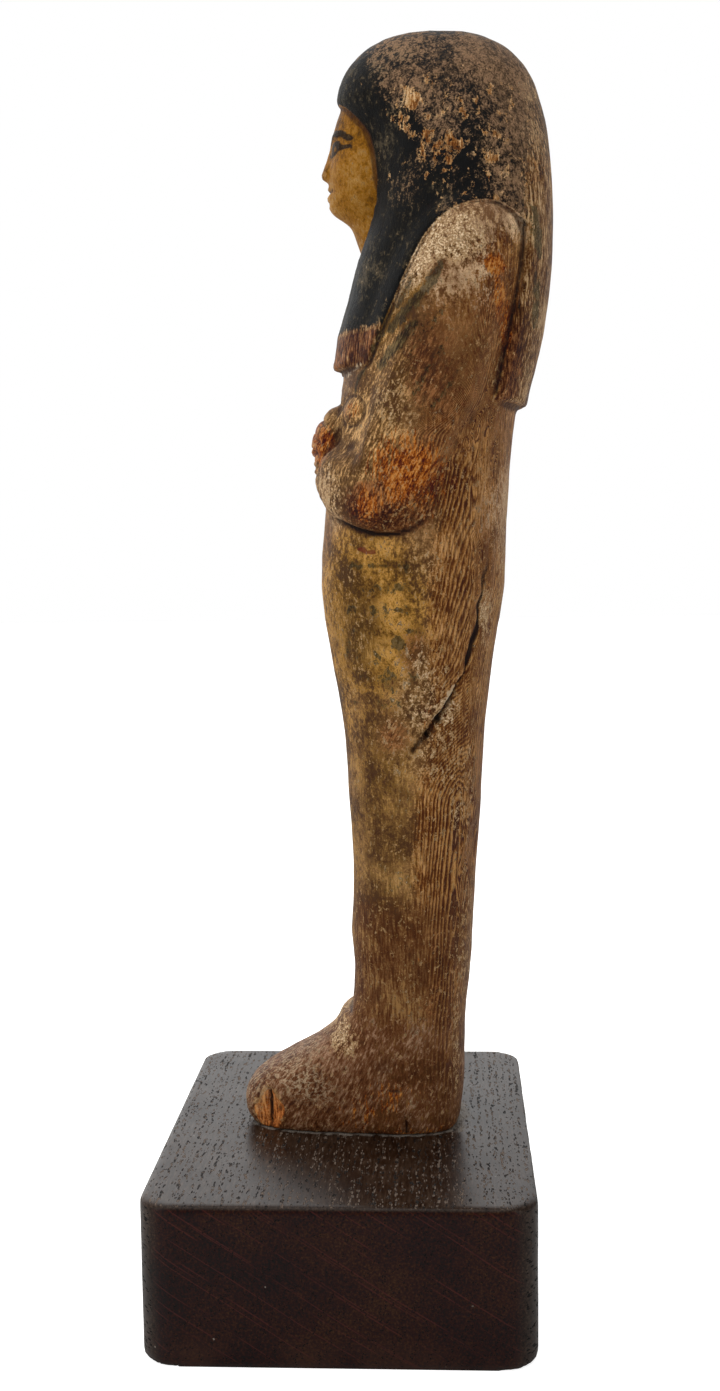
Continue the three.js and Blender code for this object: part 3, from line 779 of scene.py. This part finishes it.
def paintMasks(piece, shape, wig, chip):
    p = shape.points
    cloud = softNoise(p, (7, 7, 9), 81)
    mist = softNoise(p, (3, 3, 4), 82)
    faceIn = shape.faceDepth()
    wigMask = smoothStep(wig, -0.35, 0.35)

    crown = smoothStep(shape.z, 198, 209) * smoothStep(shape.y, 0, 14)
    rear = smoothStep(shape.y, 28, 40)
    lappetFront = (shape.y < 22) * smoothStep(190 - shape.z, 0, 8)
    faceEdge = np.exp(-((np.clip(shape.faceDepth() + 4.0, -9, 0) / 3.0) ** 2)) * (shape.y < 18)
    worn = 0.18 + 0.44 * crown + 0.55 * rear + 0.26 * cloud + 0.10 * mist
    worn += 0.5 * smoothStep(lappetEnd + 8.0 - shape.z, 0, 2.5) * (shape.y < 20)
    worn = worn * (1 - 0.9 * lappetFront * smoothStep(shape.z - lappetEnd, 5, 9)) - 0.35 * faceEdge
    bareStrip = smoothStep(shape.y, 36.5, 40.5) * (1 - 0.6 * smoothStep(shape.z, 186, 202)) + 0.1 * cloud
    bareStrip = np.maximum(bareStrip, (wig > 0) * smoothStep(shape.y, 30, 34) * (shape.z < 178) * 0.9)
    bareStrip = np.maximum(bareStrip, 0.8 * (shape.z < 153) * (shape.y > 20))
    bareStrip = np.maximum(bareStrip, 0.9 * smoothStep(lappetEnd + 8.5 - shape.z, 0, 2.5) * (shape.y < 20))
    chips = 0.02 + 0.24 * shape.patch("sides", (25, 198), (17, 12), -25,
        soft=0.7) + 0.10 * crown + 0.14 * rear
    chips += 0.36 * shape.patch("sides", (15.5, 204.5), (3.2, 4.4), 20) + 0.14 * shape.patch("near",
        (22, 196), (7, 3), -25)
    chips += 0.10 * shape.patch("sides", (24, 192), (13, 10), soft=0.8)
    worn += 0.19 * shape.patch("sides", (25, 194), (13, 9), soft=0.8)
    chips += 0.16 * shape.sides * np.exp(-((np.clip(wig, 0,
        20) / 2.0) ** 2)) * (shape.y > 12) * (shape.z < 187)
    chips -= 0.06 * lappetFront
    chips += 0.10 * mist

    gold = smoothStep(faceIn, -0.2, 0.5)
    ochre = np.maximum.reduce([
        0.85 * shape.patch("sides", (8, 108), (12, 17), soft=0.6),
        0.48 * shape.patch("sides", (10, 80), (8, 20), soft=0.8),
        0.95 * shape.patch("sides", (15.5, 166), (3.0, 13), -32, soft=0.6),
        0.75 * shape.patch("front", (0, 98), (16, 28), soft=0.6),
        0.60 * shape.patch("front", (0, 60), (12, 22), soft=0.7),
        0.70 * shape.patch("front", (0, 165), (6, 12)),
        0.45 * shape.patch("back", (0, 90), (14, 40), soft=0.8),
    ])
    olive = np.maximum(0.9 * shape.patch("sides", (6, 141), (11, 10), 35, soft=0.6),
        0.7 * shape.patch("sides", (14, 154), (7, 9)))
    olive = np.maximum(olive, 0.8 * shape.patch("front", (0, 136), (18, 8), soft=0.5))
    drab = np.maximum(0.50 * shape.patch("sides", (10, 66), (8, 26), soft=0.7),
        0.6 * shape.patch("front", (0, 60), (10, 24), soft=0.8))
    drab = np.maximum(drab, 0.6 * shape.patch("near", (6, 104), (5, 10), soft=0.8))
    tan = np.maximum.reduce([
        1.0 * shape.patch("sides", (26, 181.5), (10, 4.8), soft=0.7),
        0.8 * shape.patch("sides", (21.5, 177), (3.2, 9), -32, soft=0.6),
        1.0 * shape.patch("sides", (30, 183.4), (8, 3.6), soft=0.6),
        0.55 * shape.patch("sides", (23, 172.5), (3.5, 7), -30, soft=0.7),
        0.60 * shape.patch("sides", (26, 173), (7, 8), soft=0.8),
        0.80 * shape.patch("near", (31.6, 103), (2.2, 8), 8, soft=0.6),
        0.90 * shape.patch("near", (-0.8, 20.5), (4.2, 5), 25, soft=0.6),
        0.85 * shape.patch("front", (0, 23), (8, 5), soft=0.5),
        0.48 * shape.patch("near", (0.5, 131), (3.0, 6.5), 10, soft=0.5),
        0.60 * shape.patch("back", (0, 128), (14, 10), soft=0.7),
        0.15 * shape.top * (shape.z < 20),
    ])
    foot = smoothStep(29 - shape.z, 0, 9) * (0.55 + 0.45 * smoothStep(4 - shape.y, -6, 6))
    lowLeg = 0.85 * smoothStep(58 - shape.z, 0, 14) * (shape.z > 0)

    bare = np.maximum.reduce([
        0.9 * shape.patch("near", (33, 173.4), (1.9, 2.0), soft=0.6),
        0.75 * shape.patch("near", (34.3, 164), (1.3, 9), 6, soft=0.6),
        0.85 * shape.patch("near", (16.8, 135), (7.4, 6.2), -30, soft=0.8),
        0.75 * shape.patch("near", (8.4, 129), (2.6, 3.4), 15, soft=0.9),
        1.0 * shape.patch("front", (7.5, 141.5), (4.0, 5.6), soft=0.4),
        0.8 * shape.patch("near", (-2.8, 141), (3.2, 4.6), soft=0.5),
        0.55 * shape.patch("near", (4.2, 147), (2.4, 1.8), soft=0.5),
        0.8 * shape.patch("far", (16, 134), (5.0, 4.4), 20, soft=0.5),
        0.7 * shape.patch("front", (-8.0, 143), (3.4, 4.2), soft=0.5),
        0.6 * shape.patch("far", (30, 168), (2.2, 7), soft=0.6),
        0.42 * shape.sides * smoothStep(3.4 - shape.z, 0, 3.0) * smoothStep(shape.y, -8, 12),
        0.42 * shape.patch("near", (8, 7), (9, 4), 30, soft=0.8),
        0.5 * shape.patch("near", (19.5, 87), (1.8, 3.4), soft=0.6),
        0.5 * shape.patch("back", (6, 160), (5, 10), soft=0.7),
        0.5 * shape.patch("back", (-4, 60), (3, 3.8), soft=0.5),
    ])
    chipMask = smoothStep(chip, -0.15, 0.25) * shape.near
    plaster = 0.18 + 0.10 * cloud
    for side, middle, reach, tilt, strength in (
        ("near", (0.2, 131.5), (3.4, 6.5), 10, 0.62), ("near", (31.6, 104), (2.2, 8), 8, 0.8),
        ("near", (25, 72), (3.4, 12), 5, 0.45), ("near", (22.6, 88.5), (2.6, 4.2), -35, 0.8),
        ("near", (17.5, 92), (6, 11), 0, 0.55),
        ("near", (20, 79), (8, 8), 0, 0.45),
        ("near", (28.6, 60), (2.2, 22), 2, 0.5), ("near", (14, 84), (7, 7), 0, 0.4),
        ("near", (19.5, 175), (2.6, 12), -32, 0.95), ("near", (25, 179), (7, 6), 0, 0.85),
        ("near", (14, 147), (5, 8), 30, 0.40),
        ("near", (5, 105), (4, 20), 0, 0.3), ("near", (18, 118), (6, 5), 0, 0.4),
        ("near", (-0.8, 20.5), (3.6, 5), 25, 0.75),
        ("near", (24, 20), (1.8, 14), 0, 0.55), ("near", (33, 160), (3, 12), 0, 0.3),
        ("far", (10, 120), (8, 10), 0, 0.3), ("far", (26, 100), (5, 16), 0, 0.5),
        ("far", (20, 172), (8, 8), 0, 0.5),
        ("far", (12, 40), (6, 14), 0, 0.4), ("front", (0, 23), (6, 5), 0, 0.75),
        ("front", (-3, 120), (8, 7), 0, 0.6),
        ("front", (0, 180), (7, 6), 0, 0.5), ("back", (0, 120), (12, 14), 0, 0.5),
        ("back", (4, 40), (8, 18), 0, 0.45),
    ):
        plaster = np.maximum(plaster, strength * shape.patch(side, middle, reach, tilt,
            soft=0.6) + 0.12 * mist)
    plaster = np.maximum(plaster, 0.5 * smoothStep(187.5 - shape.z, 0, 1.5) * smoothStep(faceIn, -0.5, 0.5))

    showWood = np.clip(0.12 + shape.patch("sides", (30, 142), (9, 24), 12, soft=0.6)
                       + shape.patch("sides", (33, 163), (4.5, 20), soft=0.6) + shape.patch("sides",
                           (22, 56), (6, 24), soft=0.6)
                       + 0.8 * shape.patch("sides", (27, 104), (7, 20), soft=0.6) + 0.8 * shape.patch("back",
                           (0, 112), (22, 50))
                       + 0.5 * shape.patch("sides", (24, 22), (4, 18)) + 0.7 * shape.patch("back", (0, 40),
                           (16, 40)), 0, 1)

    rings = np.maximum.reduce([
        shape.patch("sides", (30.5, 150), (5.5, 26), 14, soft=0.6),
        shape.patch("sides", (24, 60), (6, 20), soft=0.6),
        0.9 * shape.patch("sides", (24, 133), (5, 12), 30, soft=0.7),
        0.7 * shape.patch("sides", (28, 112), (6, 14), soft=0.7),
        0.7 * shape.patch("back", (0, 100), (20, 60), soft=0.7),
        0.5 * shape.patch("sides", (23, 25), (4, 14)),
        0.6 * (wig > 0) * smoothStep(shape.y, 37, 41)])

    # Painted shade: the elbow gap, the long crack and its holes, the arm's edge, the toe chip's facet, the
    # heel crack and a line just below the wig's edge are darkened as shadow.
    dark = np.zeros(len(shape.x))
    for line, width, strength, seen in ((elbowGap, 0.32, 1.0, shape.sides),
        (longCrack, 0.34, 0.9, shape.near),
                                        (armEdge, 0.9, 0.4, shape.sides)):
        away, _, share = shape.crack if line is longCrack else alongLine(shape.y, shape.z, line)
        taper = np.sin(np.pi * np.clip(share, 0.03, 0.97)) ** 0.4
        dark = np.maximum(dark, taper * seen * strength * (1 - smoothStep(away, width * 0.4, width * 1.8)))
    for y, z, reach in ((21.4, 86.8, 0.7), (19.0, 83.6, 0.6)):
        dark = np.maximum(dark, shape.near * hill(shape.y - y, reach, shape.z - z, reach * 1.4))
    dark = np.maximum(dark, shape.near * (chip > -0.5) * np.exp(-(((shape.y + 15.6) / 0.4) ** 2))
        * (shape.z < 8.6))
    dark = np.maximum(dark, 0.7 * shape.near * hill(shape.y - 13.2, 0.4, shape.z - 1.5, 4.5))
    dark = np.maximum(dark, 0.7 * np.exp(-(((wig + 0.35) / 0.3) ** 2)) * (shape.z > 150)
        * (faceIn < -0.5) * (shape.z < 190))

    purple = np.maximum.reduce([
        0.85 * shape.patch("sides", (33, 158), (5.4, 17), soft=0.6),
        0.80 * shape.patch("sides", (24, 153), (8, 12), 20, soft=0.8),
        0.85 * shape.patch("sides", (20, 136), (5, 10), -30, soft=0.8),
        0.7 * shape.patch("sides", (30, 176), (4, 6), soft=0.8),
        0.6 * shape.patch("near", (31, 118), (3, 10), soft=0.8),
        0.6 * shape.patch("near", (17, 100), (3, 5), soft=0.8),
        0.6 * shape.patch("near", (12, 84), (4, 5), soft=0.8),
        0.55 * shape.patch("near", (26, 50), (3, 12), soft=0.8),
        1.0 * shape.patch("near", (12.5, 128.6), (9.5, 5.2), soft=0.5),
        0.6 * shape.patch("near", (22, 28), (5, 22), soft=0.7),
        0.7 * shape.patch("near", (31, 88), (2.2, 12), soft=0.6),
        0.5 * shape.patch("far", (14, 127), (9, 4), soft=0.6),
        0.5 * shape.patch("back", (0, 70), (14, 30), soft=0.8),
        0.6 * shape.patch("near", (-4, 124), (4, 5), soft=0.6),
        0.75 * (shape.z < lappetEnd + 6.5) * smoothStep(wig, -0.5, 0.5) * (shape.y < 20)])
    whiteEdge = np.zeros(len(shape.x))
    away, side, share = shape.crack
    along = smoothStep(share, 0.56, 0.68) * (1 - smoothStep(share, 0.82, 0.9))
    whiteEdge = 0.62 * shape.near * (side < 0) * along * np.exp(-(((away - 0.8) / 0.8) ** 2))
    away, _, _ = alongLine(shape.y, shape.z, [(6.5, 156), (3.5, 154.6), (0.5, 154.8)])
    whiteEdge = np.maximum(whiteEdge, 0.6 * shape.sides * (1 - smoothStep(away, 0.0, 1.2)))

    crackle = np.maximum.reduce([shape.patch("near", (-11, 12.5), (9, 4), -25),
        0.8 * shape.patch("top", (0, -12), (12, 10)),
                                 0.8 * shape.patch("front", (0, 9), (12, 8)),
                                 shape.patch("far", (-10, 11), (10, 5), -25)])
    crackle *= smoothStep(22 - shape.z, 0, 4)

    ink = strokes(shape, faceLines)
    collar = np.maximum(strokes(shape, collarLines), strokes(shape, glyphRows()))
    collar = np.maximum(collar, 0.9 * shape.patch("near", (13.8, 102.1), (1.3, 1.4), soft=0.3))
    collar = np.maximum(collar, 0.7 * shape.patch("near", (3.3, 101), (0.7, 2.2), soft=0.4))
    collar = np.maximum(collar, 0.5 * shape.patch("near", (11.6, 95), (2.2, 2.6), soft=0.6))
    redMark = strokes(shape, [("near", 0.5, 1.0, [(6.3, 120.6), (8.0, 120.1)]),
        ("near", 0.42, 1.0, [(8.5, 119.9), (10.0, 120.2)])])

    depth = hollowness(piece.data)
    # The hollow mask is used for painted shade: the hollows of the carving are darkened.
    hollow = smoothStep(depth, 0.03, 0.30)
    ridge = smoothStep(-depth, 0.14, 0.45) * (shape.z > 2)
    masks = {"hollow": hollow, "ridge": ridge, "wigPaint": wigMask, "worn": worn, "bareStrip": bareStrip,
        "chips": chips, "faceGold": gold, "ochre": ochre, "drab": drab,
             "olive": olive, "tan": tan, "foot": foot, "lowLeg": lowLeg, "bareWood": bare,
             "freshWood": chipMask,
             "plaster": plaster, "showWood": showWood, "rings": rings, "cutShade": dark, "purple": purple,
             "whiteEdge": whiteEdge,
             "crackle": crackle, "ink": ink, "collar": collar, "redMark": redMark}
    for name, values in masks.items():
        store = piece.data.attributes.new(name, "FLOAT", "POINT")
        store.data.foreach_set("value", np.clip(values, 0, 1).astype(np.float32))


figureTones = {  # five tones each, from the darkest to the lightest
    "brown": "463020 5a3f26 6c4e30 81603d ab8257",
    "wood": "47270f 603719 79502b 936739 b98d5c",
    "purple": "2a140a 3d2114 51301d 6a4329 8c5d3a",
    "ochre": "452f18 60431f 7b5828 946c32 b88a49",
    "drawing": "19160f 221e15 2c2719 3b3321 55482f",
    "drab": "3c2b16 513a1e 664a26 7a5a30 9d7a48",
    "olive": "46301a 5c4126 6f5131 8c6a42 c69c68",
    "tan": "6e4f36 8f7155 ab8b6b c3a480 dabc98",
    "foot": "371f11 4d2e1d 623f29 785640 987960",
    "lowLeg": "402411 4f2f1b 5c3b23 6b4a2f 8a673f",
    "bareOrange": "3a1706 5a2a0d 7d4115 985420 b27a3f",
    "fresh": "6a3a1e 93542a ac6432 bc7640 cb9058",
    "plaster": "6b543c 8d7052 a98a68 c4a682 dcc6a6",
    "black": "100f0c 161512 1c1a16 27241e 463e32",
    "wornBlack": "30261c 46372a 5e4a38 765c46 967659",
    "underPaint": "54300f 73441f 8e5f33 a98050 c9a67c",
    "rearStrip": "382217 53341f 6c4a2b 866440 b0926c",
    "faceGold": "40290f 60400f 855716 a4742a c29a54",
}


def makeFigureMaterial():
    kit = Nodes("worn painted figure wood")

    # Growth layers, cut through by the carving, and fibres that run up the figure.
    slow = kit.noise(1.0, 2, source=kit.squeeze((0.055, 0.055, 0.016)))
    quick = kit.noise(1.0, 3, source=kit.squeeze((0.16, 0.16, 0.05)))
    layers = kit.plus(kit.vector("DOT_PRODUCT", kit.mm, (1.0, 0.22, 0.02)), kit.times(slow, 11.0),
        kit.times(quick, 4.0))
    up = kit.vector("DOT_PRODUCT", kit.mm, (0, 0, 1))
    rear = kit.math("SUBTRACT", kit.vector("DOT_PRODUCT", kit.mm, (-0.087, 1, 0)), 30.5)
    bend = kit.times(rear, rear, kit.step(up, 172, 190, 0.05, 0.33))
    arches = kit.plus(kit.times(up, kit.step(up, 100, 130, 0.08, 0.30)), bend, kit.times(layers, 0.22),
        kit.times(quick, 2.2))
    sides = kit.math("ABSOLUTE", kit.vector("DOT_PRODUCT",
        kit.new("ShaderNodeNewGeometry").outputs["Normal"], (1, 0, 0)))
    ring = kit.math("FRACT", kit.mix(kit.step(sides, 0.35, 0.75), kit.math("DIVIDE", layers, 0.95), arches))
    ringDark = kit.math("MAXIMUM", kit.step(ring, 0.50, 0.88), kit.step(ring, 0.12, 0.0))
    ringPale = kit.times(kit.step(ring, 0.12, 0.28), kit.step(ring, 0.50, 0.34))
    fibre = kit.noise(1.0, 5, 0.62, source=kit.squeeze((2.3, 2.3, 0.32)))
    slant = kit.noise(1.0, 5, 0.66, source=kit.squeeze((1.7, 2.1, 0.6), 28))
    fleck = kit.noise(1.0, 6, 0.72, source=kit.squeeze((1.0, 1.0, 0.7)), distortion=0.3)
    fleckTint = fleck.node.outputs["Color"]
    grit = kit.noise(2.6, 3, 0.65)
    blotch = kit.noise(0.12, 5, 0.6)
    edge = kit.plus(kit.times(blotch, 0.9), kit.times(fleck, 2.2), kit.times(grit, 1.0), -2.05)
    edgeAlong = kit.plus(kit.times(fibre, 2.4), kit.times(fleck, 1.2), -1.8)
    mottle = kit.plus(kit.times(blotch, 0.40), kit.times(fleck, 0.42), kit.times(grit, 0.18))
    grain = kit.plus(kit.times(blotch, 0.30), kit.times(fibre, 0.52), kit.times(grit, 0.18))
    strokes = kit.plus(kit.times(blotch, 0.32), kit.times(slant, 0.48), kit.times(grit, 0.20))

    def tones(name, field, spread=0.033):
        return kit.tones(field, figureTones[name], spread)

    def shown(name, soft=0.12):  # a drawn area with broken edges
        return kit.step(kit.plus(kit.drawn(name), edge), 0.5 - soft, 0.5 + soft)

    showWood = kit.drawn("showWood")
    color = kit.mix(shown("showWood"), tones("brown", mottle), tones("wood", grain))
    color = kit.mix(shown("ochre", 0.2), color, tones("ochre", mottle))
    color = kit.mix(shown("lowLeg", 0.3), color, tones("lowLeg", grain, 0.045))
    color = kit.mix(shown("drab", 0.3), color, tones("drab", grain, 0.045))
    color = kit.mix(shown("olive", 0.2), color, tones("olive", strokes))
    color = kit.mix(shown("purple", 0.2), color, tones("purple", strokes))
    color = kit.mix(shown("tan", 0.2), color, tones("tan", mottle))
    color = kit.mix(shown("foot", 0.2), color,
        tones("foot", kit.plus(kit.times(fleck, 0.25), kit.times(slant, 0.50), kit.times(blotch, 0.25)),
            0.05))
    stain = kit.plus(kit.times(kit.noise(0.20, 5, 0.62, kit.squeeze((1.0, 1.0, 0.7))), 0.8),
        kit.times(fleck, 0.2))
    color = kit.mix(kit.times(kit.step(stain, 0.53, 0.64), 0.42), color, kit.seen("37200f"))
    rings = kit.plus(kit.times(kit.drawn("rings"), 0.75), kit.times(showWood, 0.25))
    calmed = kit.mix(kit.step(blotch, 0.40, 0.60), kit.seen("653b1b"), kit.seen("8e5e35"))
    color = kit.mix(kit.times(rings, 0.35), color, calmed)
    color = kit.mix(kit.times(ringDark, rings, kit.step(slant, 0.24, 0.44), 0.9), color, kit.seen("331a0c"))
    color = kit.mix(kit.times(ringPale, rings, kit.step(fleck, 0.40, 0.52), 0.7), color, kit.seen("b4874f"))

    # Bare wood, orange and streaked.
    bareMask = kit.step(kit.plus(kit.drawn("bareWood"), edgeAlong), 0.42, 0.60)
    color = kit.mix(bareMask, color, tones("bareOrange", strokes))

    # Dirty white ground, showing as flecks.
    plasterAmount = kit.drawn("plaster")
    chips = kit.plus(kit.times(fleck, 0.6), kit.times(grit, 0.25), kit.times(slant, 0.15))
    tanMask = kit.step(kit.plus(kit.times(plasterAmount, 0.16), chips), 0.585, 0.615)
    color = kit.mix(kit.times(tanMask, 0.75), color, kit.seen("ab8a60"))
    plasterMask = kit.step(kit.plus(kit.times(plasterAmount, 0.20), chips), 0.655, 0.68)
    color = kit.mix(kit.times(plasterMask, 0.9), color, tones("plaster", grit, 0.06))

    # The face: yellow with a patchy brown haze.
    haze = kit.step(kit.plus(kit.times(blotch, 0.6), kit.times(fleck, 0.6)), 0.55, 0.72)
    faceTone = kit.mix(kit.times(haze, 0.5), tones("faceGold", mottle, 0.07), tones("brown", mottle, 0.07))
    faceTone = kit.mix(kit.times(plasterMask, 0.8), faceTone, kit.seen("b99a72"))
    color = kit.mix(kit.step(kit.drawn("faceGold"), 0.4, 0.6), color, faceTone)

    # Fresh wood in the chipped toes.
    color = kit.mix(kit.step(kit.drawn("freshWood"), 0.35, 0.65), color, tones("fresh", grain))

    # Black paint of the wig: thin and brown on the crown, chipped down to the wood, nearly gone at the back.
    wigMask = kit.step(kit.drawn("wigPaint"), 0.35, 0.65)
    wornShare = kit.step(kit.plus(kit.drawn("worn"), edge), 0.25, 0.75)
    scuffs = kit.plus(kit.times(blotch, 0.22), kit.times(fleck, 0.46), kit.times(grit, 0.32))
    paint = kit.mix(wornShare, tones("black", mottle), tones("wornBlack", scuffs, 0.042))
    strip = kit.step(kit.plus(kit.drawn("bareStrip"), kit.times(edge, 0.6), kit.times(edgeAlong, 0.5)), 0.34,
        0.64)
    paint = kit.mix(strip, paint, tones("rearStrip", grain))
    paint = kit.mix(kit.step(kit.plus(kit.drawn("purple"), edge), 0.4, 0.7), paint, tones("purple", grain))
    chipNoise = kit.plus(kit.times(kit.noise(1.0, 6, 0.62, kit.squeeze((0.42, 0.42, 0.34)), 0.4), 0.55),
                         kit.times(fleck, 0.28), kit.times(grit, 0.17))
    chipped = kit.math("SUBTRACT", kit.plus(chipNoise, kit.times(kit.drawn("chips"), 0.30)), 0.66)
    chipMask = kit.step(chipped, -0.004, 0.010)
    chipRim = kit.times(chipMask, kit.step(chipped, 0.035, 0.012))
    paint = kit.mix(kit.times(chipMask, 0.92), paint, tones("underPaint", grain))
    paint = kit.mix(kit.times(chipRim, kit.step(fleck, 0.44, 0.56), 0.6), paint, kit.seen("b8966a"))
    color = kit.mix(wigMask, color, paint)

    # Drawn lines of face, collar and text rows.
    inkMask = kit.step(kit.plus(kit.drawn("ink"), kit.times(edge, 0.35)), 0.25, 0.5)
    color = kit.mix(kit.times(inkMask, 0.9), color, tones("black", mottle))
    collarMask = kit.step(kit.plus(kit.drawn("collar"), kit.times(edge, 1.5)), 0.44, 0.66)
    color = kit.mix(kit.times(collarMask, 0.86), color, tones("drawing", strokes))
    redMask = kit.step(kit.plus(kit.drawn("redMark"), kit.times(edge, 0.6)), 0.40, 0.56)
    color = kit.mix(kit.times(redMask, 0.8), color, kit.seen("5c2620"))

    # Crazing on the foot, the white edge of the crack, painted shade in the hollows and cuts, and rubbed
    # ridges.
    wander = kit.vector("ADD", kit.mm, kit.vector("SCALE",
        kit.vector("SUBTRACT", fleckTint, (0.5, 0.5, 0.5)), scale=2.2))
    crazing = kit.cells(0.75, "DISTANCE_TO_EDGE", kit.squeeze((1.0, 0.55, 1.35), -18, wander))
    crazed = kit.times(kit.drawn("crackle"), kit.step(crazing, 0.12, 0.03), kit.step(fleck, 0.40, 0.50))
    color = kit.mix(kit.times(crazed, 0.75), color, kit.seen("b09a7c"))
    white = kit.step(kit.plus(kit.drawn("whiteEdge"), edge), 0.45, 0.6)
    color = kit.mix(kit.times(white, 0.8), color, kit.seen("c2ae92"))
    # Painted shade: the hollows of the carving are darkened.
    hollowShade = kit.step(kit.plus(kit.drawn("hollow"), kit.times(edge, 0.35)), 0.15, 0.85)
    color = kit.mix(kit.times(hollowShade, 0.72), color, kit.seen("2a1a0f"))
    rubbed = kit.step(kit.plus(kit.drawn("ridge"), edge), 0.45, 0.75)
    color = kit.mix(kit.times(rubbed, kit.math("SUBTRACT", 1.0, wigMask), 0.4), color, kit.seen("b08a5c"))
    # Painted shade in the cracks, gaps and under the wig's edge.
    cut = kit.step(kit.plus(kit.drawn("cutShade"), kit.times(grit, 0.5)), 0.65, 1.0)
    color = kit.mix(kit.times(cut, 0.9), color, kit.seen("1c100a"))

    blackMask = kit.times(wigMask, kit.math("SUBTRACT", 1.0, chipMask))
    gloss = kit.plus(0.42, kit.times(mottle, 0.30), kit.times(plasterMask, 0.2))
    height = kit.plus(kit.times(fibre, 0.16), kit.times(fleck, 0.26), kit.times(grit, 0.10),
        kit.times(slant, 0.08))
    height = kit.plus(height, kit.times(ringDark, showWood, -0.05), kit.times(plasterMask, 0.04),
        kit.times(tanMask, 0.02))
    height = kit.plus(height, kit.times(blackMask, 0.06), kit.times(crazed, -0.05),
        kit.times(bareMask, -0.05))
    kit.shader.inputs["Specular IOR Level"].default_value = 0.10
    return kit.finish(color, gloss, height)


def makeFigure():
    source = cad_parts["ushabti_figure"]
    mesh = source.data.copy()
    mesh.materials.clear()
    piece = bpy.data.objects.new("carved_ushabti", mesh)
    bpy.context.scene.collection.objects.link(piece)
    joined = bmesh.new()
    joined.from_mesh(mesh)
    bmesh.ops.remove_doubles(joined, verts=joined.verts, dist=1e-6)
    joined.to_mesh(mesh)
    joined.free()
    applyModifier(piece, "REMESH", "evenMesh", mode="VOXEL", voxel_size=figure["voxel"])
    applyModifier(piece, "SMOOTH", "handSanding", factor=0.5, iterations=figure["smoothing"])
    shape, wig, chip = carve(piece)
    paintMasks(piece, shape, wig, chip)
    for polygon in piece.data.polygons:
        polygon.use_smooth = True
    piece.data.materials.append(makeFigureMaterial())
    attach(piece, "root")
    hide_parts("ushabti_figure")
    print("figure", len(piece.data.polygons), "faces")


makeFigure()
